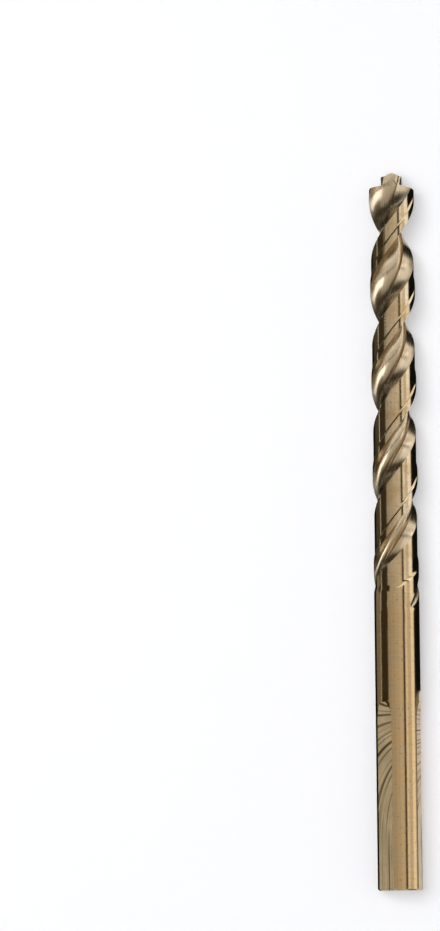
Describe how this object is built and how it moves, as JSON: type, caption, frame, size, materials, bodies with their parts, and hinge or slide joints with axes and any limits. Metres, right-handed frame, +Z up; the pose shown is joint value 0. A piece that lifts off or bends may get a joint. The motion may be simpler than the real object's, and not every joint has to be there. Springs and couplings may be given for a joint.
{
  "type": "twist drill bit",
  "caption": "Stub-nosed twist drill bit with a stepped pilot point, helical flutes and a round shank with flats for the chuck jaws.",
  "frame": {"origin": "centre of the flat shank end, on the axis of the bit", "axes": "+Y along the axis of the bit from the shank end to the tip, +Z up from the surface it lies on"},
  "size_m": [0.0064, 0.1016, 0.0064],
  "materials": {
    "tool_steel": "ground tool steel with a straw-bronze oxide"
  },
  "bodies": {
    "root": {"drill_bit": "tool_steel"}
  },
  "joints": []
}
